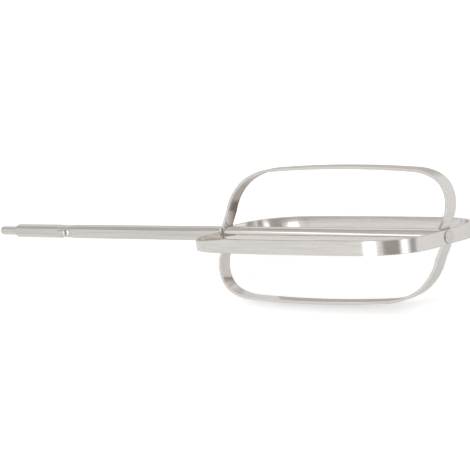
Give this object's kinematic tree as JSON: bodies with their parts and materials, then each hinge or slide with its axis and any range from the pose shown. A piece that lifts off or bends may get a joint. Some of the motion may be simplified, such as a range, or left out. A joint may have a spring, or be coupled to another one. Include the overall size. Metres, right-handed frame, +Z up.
{
  "type": "mixer beater",
  "caption": "Chrome-plated hand mixer beater: a round stem with a nipple and pinched ears, and crossed flat strip loops around a centre tube.",
  "frame": {"origin": "middle of the bounding box in X and Y, on the ground under the beater", "axes": "+X runs along the stem from the nipple to the riveted tip, +Z is up, and the beater lies on one strip of each loop"},
  "size_m": [0.2106, 0.0364, 0.0353],
  "materials": {
    "chrome": "bright plated steel, lightly brushed along the strips"
  },
  "bodies": {
    "root": {"spindle": "chrome", "centre_tube": "chrome", "outer_loop": "chrome", "inner_loop": "chrome"}
  },
  "joints": []
}
